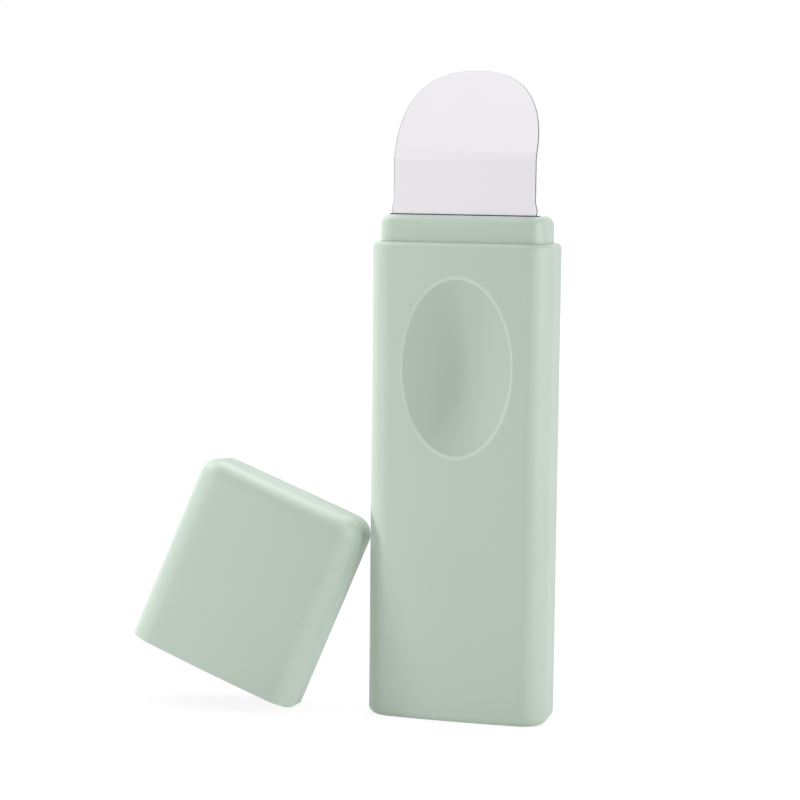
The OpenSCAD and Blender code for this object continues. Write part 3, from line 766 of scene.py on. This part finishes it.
def build_cap(settings):
    housing, sizes = settings.housing, settings.cap
    w, t, h = housing.width / 2, housing.depth / 2, sizes.height
    cap = soft_block("cap", (-w, -t, 0), (w, t, h), housing.edge_r, sizes.mouth_r, sizes.top_r)
    crown(cap, housing)
    inner_w, inner_t = w - sizes.wall, t - sizes.wall
    carve(cap, soft_block("hollow", (-inner_w, -inner_t, -5 * MM),
                          (inner_w, inner_t, h - sizes.roof),
                          housing.edge_r - sizes.wall, 0, CAP_END_R))
    for side in (-1, 1):
        for face in (-1, 1):
            place = (side * RIB_X, face * (inner_t + RIB_SUNK), RIB_MIDDLE)
            bpy.ops.object.select_all(action="DESELECT")
            bpy.ops.mesh.primitive_cylinder_add(vertices=32, radius=RIB_R, depth=RIB_LENGTH,
                                                location=place)
            carve(cap, settle("grip_rib"), "UNION")
    soften(cap, rim(lambda place: abs(place.z) < TINY, SHARP), CAP_MOUTH_R, 3)

    # Height that puts the lowest point of the leaning mouth on the floor
    down_x = math.cos(sizes.lean) * math.sin(sizes.tilt)
    down_y = math.sin(sizes.lean)
    drop = (down_x * (w - housing.edge_r) + down_y * (t - housing.edge_r)
            + (housing.edge_r - sizes.mouth_r) * math.hypot(down_x, down_y)
            + sizes.mouth_r * (1 - math.cos(sizes.lean) * math.cos(sizes.tilt)))
    choose(cap)
    cap.matrix_world = (Matrix.Translation((sizes.across, sizes.back, drop))
                        @ Matrix.Rotation(sizes.turn, 4, "Z")
                        @ Matrix.Rotation(-sizes.lean, 4, "X")
                        @ Matrix.Rotation(sizes.tilt, 4, "Y"))
    bpy.ops.object.transform_apply(location=True, rotation=True, scale=True)
    return cap


def build_button(settings):
    """Round key with a shallow finger hollow and a flange behind the wall."""
    sizes = settings.fittings
    low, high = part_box("power_button")
    full_r = sizes.diameter / 2
    button = add_pin("button", full_r, (0, low.y, sizes.middle), (0, high.y, sizes.middle), 128)
    soften(button, rim(lambda place: abs(place.y - high.y) < TINY), BUTTON_R, 6)
    hollow_r = full_r - BUTTON_RING
    ball_r = (hollow_r ** 2 + sizes.hollow ** 2) / (2 * sizes.hollow)
    choose(button)
    bpy.ops.object.mode_set(mode="EDIT")
    pick(button, "faces", lambda face: (face.normal.y > 0.99
                                        and face.calc_center_median().y > high.y - TINY))
    radius, level = full_r - BUTTON_R, 0.0
    for step in range(HOLLOW_STEPS):
        next_radius = hollow_r * (1 - step / HOLLOW_STEPS)
        bpy.ops.mesh.inset(thickness=radius - next_radius, use_boundary=True)
        if step:
            depth = sizes.hollow - (ball_r - math.sqrt(ball_r ** 2 - next_radius ** 2))
            bpy.ops.transform.translate(value=(0, level - depth, 0))
            level = depth
        radius = next_radius
    bpy.ops.object.mode_set(mode="OBJECT")
    flange = add_pin("flange", (high.x - low.x) / 2, (0, low.y, sizes.middle),
                     (0, low.y + FLANGE_T, sizes.middle), 128)
    carve(button, flange, "UNION")
    return button


def skin(name, finish, colour):
    """Moulded plastic in one of the finish's colours."""
    return moulded(name, colour, finish.sheen_roughness)


class SPATULA_OT_housing(bpy.types.Operator):
    """Builds the hollow housing with its thumb dish and its openings"""

    bl_idname = "spatula.housing"
    bl_label = "Housing"

    def execute(self, context):
        settings = context.scene.spatula
        finish = settings.finish
        shell = build_housing(settings)
        polish(shell)
        # The dish rim's lighter colour is a painted highlight and the dish's darker colour is
        # painted shade.
        hand_over(shell, "handle", "handle_shell", "shell_plastic",
                  skin("housing_plastic", finish, finish.plastic),
                  skin("dish_rim_plastic", finish, finish.rim),
                  skin("dish_plastic", finish, finish.dish))
        paint_dish_highlight_and_shade(shell, settings.housing)
        return {"FINISHED"}


class SPATULA_OT_collar(bpy.types.Operator):
    """Builds the collar that carries the blade's slot and takes the cap"""

    bl_idname = "spatula.collar"
    bl_label = "Collar"

    def execute(self, context):
        settings = context.scene.spatula
        finish = settings.finish
        collar = build_collar(settings)
        polish(collar)
        hand_over(collar, "handle", "head_collar", "collar_plastic",
                  skin("collar_plastic_skin", finish, finish.plastic))
        return {"FINISHED"}


class SPATULA_OT_blade(bpy.types.Operator):
    """Builds the bent steel blade, with painted shade on its cut edges"""

    bl_idname = "spatula.blade"
    bl_label = "Blade"

    def execute(self, context):
        settings = context.scene.spatula
        finish = settings.finish
        blade = build_blade(settings)
        polish(blade, BLADE_SMOOTH_ANGLE)
        hand_over(blade, "handle", "blade", "blade_steel",
                  rolled_steel("satin_steel", finish.steel, 0.34),
                  # The near-black steel of the cut edges is painted shade.
                  rolled_steel("cut_steel", finish.painted_edge_shade, 0.5, grain=(1.0, 0.04, 1.0)))
        paint_blade_edge_shade(blade, settings.blade)
        return {"FINISHED"}


class SPATULA_OT_cap(bpy.types.Operator):
    """Builds the pull-off cap and leans it beside the housing"""

    bl_idname = "spatula.cap"
    bl_label = "Cap"

    def execute(self, context):
        settings = context.scene.spatula
        finish = settings.finish
        cap = build_cap(settings)
        polish(cap)
        hand_over(cap, "cap", "cap_shell", "cap_plastic",
                  skin("cap_plastic_skin", finish, finish.plastic))
        return {"FINISHED"}


class SPATULA_OT_button(bpy.types.Operator):
    """Builds the power button with its finger hollow"""

    bl_idname = "spatula.button"
    bl_label = "Power button"

    def execute(self, context):
        settings = context.scene.spatula
        finish = settings.finish
        button = build_button(settings)
        polish(button)
        hand_over(button, "power_button", "power_button", "button_plastic",
                  skin("button_plastic_skin", finish, finish.plastic))
        return {"FINISHED"}


INNER_FINISHES = {
    # node: maker and its values, colour first
    "blade_seal": (grainy, (0.018, 0.018, 0.02), 0.55, 0.0002, 0.15, 0.000004),
    "blade_clamp": (rolled_steel, (0.62, 0.62, 0.64), 0.34),
    "clamp_screws": (turned_metal, (0.42, 0.43, 0.45), 0.36),
    "horn": (turned_metal, (0.66, 0.67, 0.69), 0.3),
    "piezo_rings": (grainy, (0.52, 0.45, 0.31), 0.5, 0.0003, 0.12, 0.000004),
    "piezo_contacts": (rolled_steel, (0.72, 0.52, 0.22), 0.28),
    "back_mass": (turned_metal, (0.36, 0.37, 0.39), 0.38),
    "stack_bolt": (turned_metal, (0.42, 0.43, 0.45), 0.34),
    "stack_isolators": (grainy, (0.03, 0.03, 0.034), 0.62, 0.0002, 0.15, 0.000006),
    "chassis": (moulded, (0.72, 0.72, 0.69), 0.5, 0.02, 0.000004),
    "battery": (foil, (0.55, 0.57, 0.6)),
    "battery_pad": (grainy, (0.08, 0.085, 0.09), 0.85, 0.0004, 0.25, 0.00004),
    "circuit_board": (board_laminate, (0.03, 0.13, 0.055)),
    "board_screws": (turned_metal, (0.42, 0.43, 0.45), 0.36),
    "control_chip": (moulded, (0.022, 0.022, 0.025), 0.5, 0.08, 0.000006),
    "drive_coil": (grainy, (0.09, 0.09, 0.1), 0.55, 0.0003, 0.2, 0.00001),
    "board_capacitors": (grainy, (0.42, 0.31, 0.17), 0.4, 0.0003, 0.1, 0.000004),
    "status_led": (clear_moulding, (0.9, 0.9, 0.84), 0.4),
    "light_guide": (clear_moulding, (0.86, 0.9, 0.88), 0.75),
    "tact_switch": (moulded, (0.04, 0.042, 0.046), 0.45, 0.06, 0.000004),
    "switch_plunger": (moulded, (0.03, 0.03, 0.033), 0.4, 0.06, 0.000003),
    "charging_socket": (rolled_steel, (0.62, 0.62, 0.64), 0.26),
    "socket_tongue": (moulded, (0.022, 0.022, 0.022), 0.4, 0.06, 0.000003),
    "socket_seal": (grainy, (0.02, 0.02, 0.022), 0.6, 0.0002, 0.15, 0.000006),
    "battery_leads": (moulded, (0.36, 0.035, 0.03), 0.42, 0.05, 0.000004),
    "stack_leads": (moulded, (0.035, 0.05, 0.26), 0.42, 0.05, 0.000004),
}


class SPATULA_OT_inner_parts(bpy.types.Operator):
    """Gives each inner part and small fitting its own finish"""

    bl_idname = "spatula.inner_parts"
    bl_label = "Inner parts"

    def execute(self, context):
        for node, (make, *values) in INNER_FINISHES.items():
            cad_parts[node].material_slots[0].material = make("finish_" + node, *values)
        return {"FINISHED"}


LAMPS = (
    # name, degrees left of the front, degrees up, then distance, width and height in metres, watts
    (SHADOW_LAMP, 80, 5, 0.9, 0.06, 0.06, 4.6),
    ("left_strip", 38, 10, 0.8, 0.16, 0.9, 1.3),
    ("right_front_strip", -62, 10, 0.8, 0.16, 0.9, 3.4),
    ("right_strip", -88, 10, 0.8, 0.16, 0.9, 1.9),
    ("high_left", 100, 50, 0.8, 0.4, 0.4, 2.0),
    ("high_back", 170, 62, 0.8, 0.4, 0.4, 2.5),
    ("top", 0, 85, 0.8, 0.4, 0.4, 1.0),
)


class SPATULA_OT_stage(bpy.types.Operator):
    """Sets up the white floor, the lamps and the camera"""

    bl_idname = "spatula.stage"
    bl_label = "Stage"

    def execute(self, context):
        scene = context.scene
        studio = scene.spatula.studio
        lay_floor(studio)
        light_world(scene, studio)
        for row in LAMPS:
            hang_lamp(*row)
        place_camera(scene)
        scene.view_settings.view_transform = "Standard"
        return {"FINISHED"}


def seen_directly(tree):
    """1 for rays that show the backdrop: from the camera, reflected or through clear parts."""
    path = tree.nodes.new("ShaderNodeLightPath")
    total = path.outputs["Is Camera Ray"]
    for kind in ("Is Glossy Ray", "Is Transmission Ray"):
        add = tree.nodes.new("ShaderNodeMath")
        add.operation = "MAXIMUM"
        tree.links.new(total, add.inputs[0])
        tree.links.new(path.outputs[kind], add.inputs[1])
        total = add.outputs[0]
    return total


def lay_floor(studio):
    """White floor with a faint shadow near the object and plain white farther out."""
    bpy.ops.object.select_all(action="DESELECT")
    bpy.ops.mesh.primitive_plane_add(size=8, location=(0, 0, 0))
    floor = settle("floor")
    bpy.ops.object.mode_set(mode="EDIT")
    bpy.ops.mesh.subdivide(number_cuts=7)
    bpy.ops.object.mode_set(mode="OBJECT")
    surface = Surface("white_floor", (0.9, 0.9, 0.9), 1.0)
    surface.shader.inputs["Specular IOR Level"].default_value = 0.0
    white = surface.node("ShaderNodeEmission", Strength=studio.floor_white)
    distance = surface.node("ShaderNodeVectorMath", operation="LENGTH")
    surface.link(surface.place, distance.inputs[0])
    fade = surface.node("ShaderNodeMapRange", interpolation_type="SMOOTHSTEP",
                        From_Min=SHADE_NEAR, From_Max=SHADE_FAR,
                        To_Min=1 - studio.shadow_share, To_Max=1.0)
    surface.link(distance.outputs["Value"], fade.inputs["Value"])
    share = surface.node("ShaderNodeMath", operation="MULTIPLY")
    surface.link(seen_directly(surface.tree), share.inputs[0])
    surface.link(fade.outputs["Result"], share.inputs[1])
    mix_shaders(surface.tree, "Material Output", share.outputs[0],
                surface.shader.outputs["BSDF"], white.outputs["Emission"])
    floor.data.materials.append(surface.material)


def mix_shaders(tree, output, share, first, second):
    """Shows the first shader, and the second one by the given share."""
    mix = tree.nodes.new("ShaderNodeMixShader")
    tree.links.new(share, mix.inputs["Fac"])
    tree.links.new(first, mix.inputs[1])
    tree.links.new(second, mix.inputs[2])
    tree.links.new(mix.outputs["Shader"], tree.nodes[output].inputs["Surface"])


def light_world(scene, studio):
    """Weak light from all round, with plain white where rays show the backdrop."""
    world = bpy.data.worlds.new("studio")
    scene.world = world
    world.use_nodes = True
    tree = world.node_tree
    lit, shown = tree.nodes["Background"], tree.nodes.new("ShaderNodeBackground")
    for background, strength in ((lit, studio.ambient), (shown, 1.0)):
        background.inputs["Color"].default_value = (1, 1, 1, 1)
        background.inputs["Strength"].default_value = strength
    mix_shaders(tree, "World Output", seen_directly(tree),
                lit.outputs["Background"], shown.outputs["Background"])


def hang_lamp(name, left, up, distance, width, height, watts):
    """Area lamp that looks at the object from a direction left of the front and above the floor.

    The small key lamp only draws the cap's shadow on the handle. It stays out of the reflections,
    and the soft lamps draw the highlights.
    """
    left, up = math.radians(left), math.radians(up)
    away = Vector((-math.sin(left) * math.cos(up), -math.cos(left) * math.cos(up), math.sin(up)))
    data = bpy.data.lights.new(name, "AREA")
    data.shape = "RECTANGLE"
    data.size, data.size_y = width, height
    data.energy = watts
    lamp = bpy.data.objects.new(name, data)
    bpy.context.scene.collection.objects.link(lamp)
    lamp.location = LAMP_AIM + away * distance
    lamp.rotation_euler = away.to_track_quat("Z", "Y").to_euler()
    lamp.visible_glossy = name != SHADOW_LAMP


def place_camera(scene):
    """Long lens a little above and to the right of the front."""
    sin_yaw, cos_yaw = math.sin(CAMERA_YAW), math.cos(CAMERA_YAW)
    sin_pitch, cos_pitch = math.sin(CAMERA_PITCH), math.cos(CAMERA_PITCH)
    sin_roll, cos_roll = math.sin(CAMERA_ROLL), math.cos(CAMERA_ROLL)
    ahead = Vector((-sin_yaw * cos_pitch, cos_yaw * cos_pitch, -sin_pitch))
    level = Vector((cos_yaw, sin_yaw, 0))
    rise = level.cross(ahead)
    right = level * cos_roll + rise * sin_roll
    up = rise * cos_roll - level * sin_roll
    place = CAMERA_AIM - ahead * CAMERA_BACK + right * CAMERA_RIGHT + up * CAMERA_UP
    data = bpy.data.cameras.new("camera")
    data.sensor_width = SENSOR_WIDTH
    data.lens = CAMERA_LENS * SENSOR_WIDTH / PICTURE_WIDTH
    camera = bpy.data.objects.new("camera", data)
    scene.collection.objects.link(camera)
    turn = Matrix((right, up, -ahead)).transposed().to_4x4()
    camera.matrix_world = Matrix.Translation(place) @ turn
    scene.camera = camera


class SpatulaSettings(bpy.types.PropertyGroup):
    housing: PointerProperty(name="Housing", description="Sizes of the housing", type=HousingSizes)
    collar: PointerProperty(name="Collar", description="Sizes of the collar", type=CollarSizes)
    blade: PointerProperty(name="Blade", description="Sizes of the blade", type=BladeSizes)
    cap: PointerProperty(name="Cap", description="Sizes and place of the cap", type=CapSizes)
    fittings: PointerProperty(name="Fittings", description="Sizes of button, light and socket",
                              type=ButtonSizes)
    finish: PointerProperty(name="Finish", description="Colours of the visible pieces", type=Finish)
    studio: PointerProperty(name="Studio", description="Light and floor", type=StudioSettings)


class SPATULA_PT_pieces(bpy.types.Panel):
    bl_idname = "SPATULA_PT_pieces"
    bl_label = "Skin spatula"
    bl_space_type = "VIEW_3D"
    bl_region_type = "UI"
    bl_category = "Spatula"

    def draw(self, context):
        for operator in OPERATORS:
            self.layout.operator(operator.bl_idname)


OPERATORS = (SPATULA_OT_housing, SPATULA_OT_collar, SPATULA_OT_blade, SPATULA_OT_cap,
             SPATULA_OT_button, SPATULA_OT_inner_parts, SPATULA_OT_stage)
CLASSES = (HousingSizes, CollarSizes, BladeSizes, CapSizes, ButtonSizes, Finish, StudioSettings,
           SpatulaSettings, *OPERATORS, SPATULA_PT_pieces)


def register():
    for one in CLASSES:
        bpy.utils.register_class(one)
    bpy.types.Scene.spatula = PointerProperty(name="Spatula", description="Settings of the spatula",
                                              type=SpatulaSettings)


def unregister():
    del bpy.types.Scene.spatula
    for one in reversed(CLASSES):
        bpy.utils.unregister_class(one)


def main():
    register()
    for operator in OPERATORS:
        group, name = operator.bl_idname.split(".")
        getattr(getattr(bpy.ops, group), name)()


if __name__ == "__main__":
    main()
